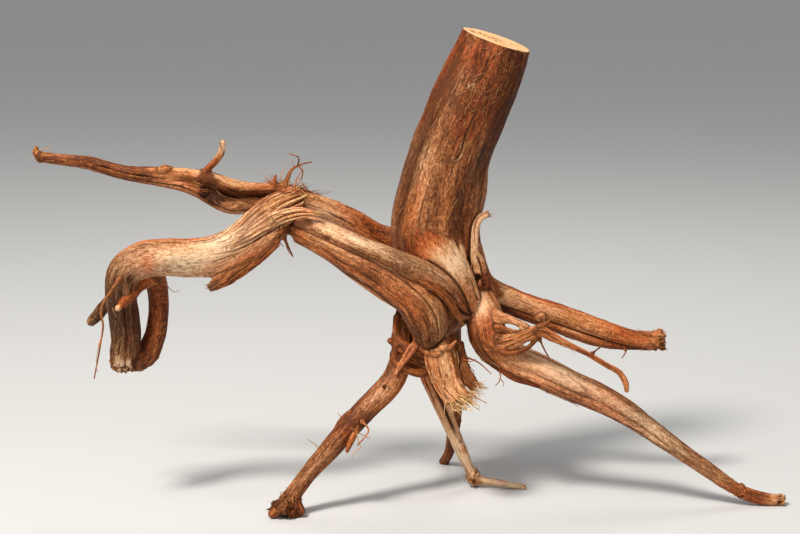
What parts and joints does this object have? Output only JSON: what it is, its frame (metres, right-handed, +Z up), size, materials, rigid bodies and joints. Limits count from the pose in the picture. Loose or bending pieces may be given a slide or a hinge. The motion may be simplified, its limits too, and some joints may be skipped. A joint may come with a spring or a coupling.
{
  "type": "dry root",
  "caption": "Dry gnarled root with a sawn stump over crossing, twisted roots, standing by itself on its root tips.",
  "frame": {"origin": "bottom centre of the bounding box, on the surface that the root tips stand on", "axes": "+Z up, +X to the right along the longest extent as the picture shows it, -Y towards the viewer, +Y the shortest extent"},
  "size_m": [0.557, 0.1504, 0.3518],
  "materials": {
    "wood": "dry, weathered wood: pale cream and tan fibres, orange-brown and reddish-brown bark, dark crevices, matt"
  },
  "bodies": {
    "root": {"dry_root": "wood"}
  },
  "joints": []
}
